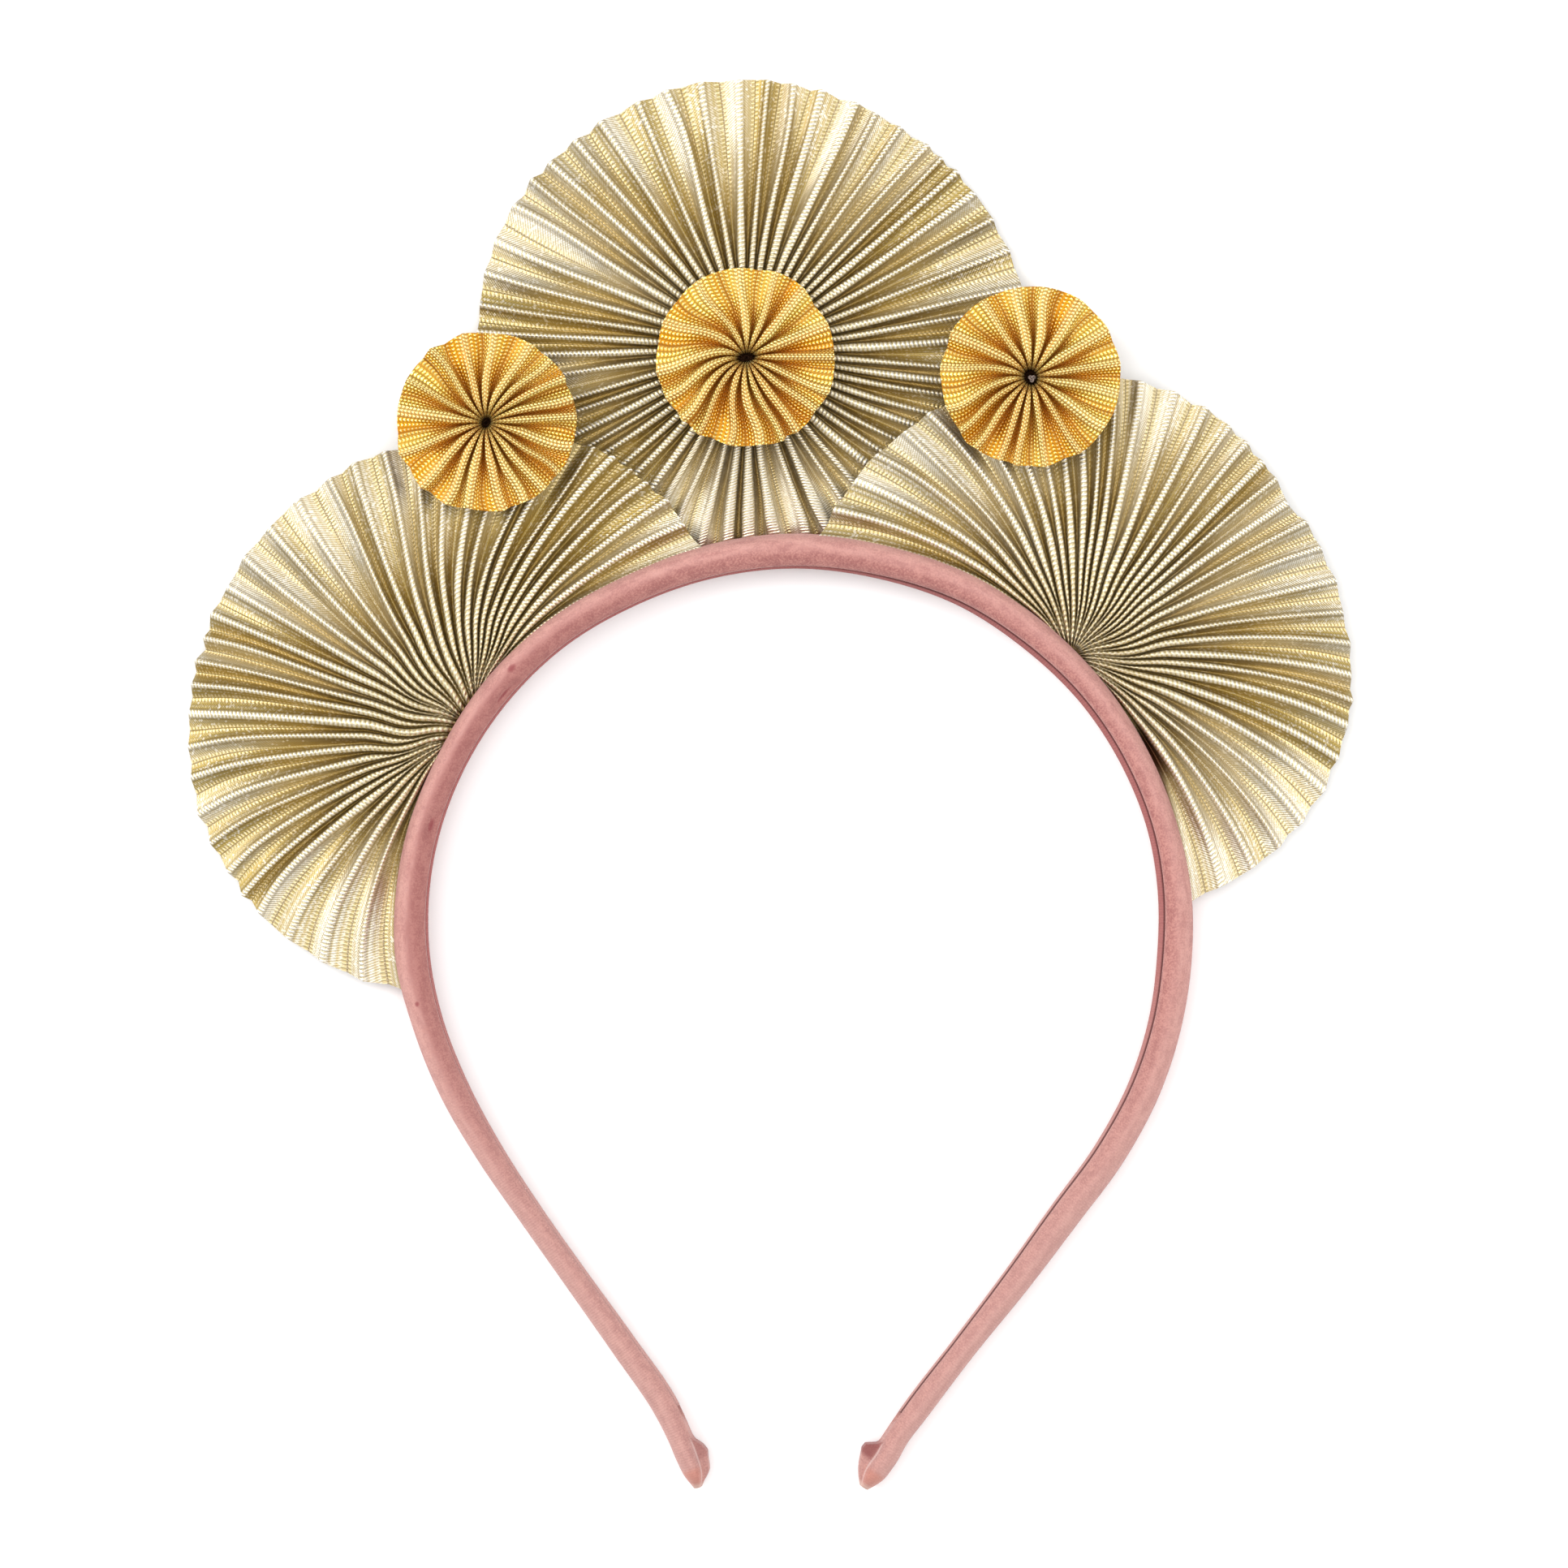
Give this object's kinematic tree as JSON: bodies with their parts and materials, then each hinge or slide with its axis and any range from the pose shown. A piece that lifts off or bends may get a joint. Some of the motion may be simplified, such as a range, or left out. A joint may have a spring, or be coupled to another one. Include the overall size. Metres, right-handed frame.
{
  "type": "fan headband",
  "caption": "Velvet-covered horseshoe hair band with large pleated metallic fans over the crown and small pleated ribbon rosettes on them.",
  "frame": {"origin": "on the surface that the headband lies on, under the middle of its outline", "axes": "+Z from the band's back edge to its front, towards the viewer of the fans; +Y from the tips to the crown; +X to the viewer's right"},
  "size_m": [0.1822, 0.2212, 0.0102],
  "materials": {
    "velvet": "dusty pink velvet with a short pile",
    "lining": "matt darker pink fabric strip",
    "lame": "pleated pale champagne gold lame with a satin metallic gloss",
    "gold_ribbon": "pleated yellow gold metallic ribbon with a herringbone weave"
  },
  "bodies": {
    "root": {"headband": "velvet", "band_lining": "lining", "fan_center": "lame", "fan_left": "lame", "fan_right": "lame", "rosette_center": "gold_ribbon", "rosette_left": "gold_ribbon", "rosette_right": "gold_ribbon"}
  },
  "joints": []
}
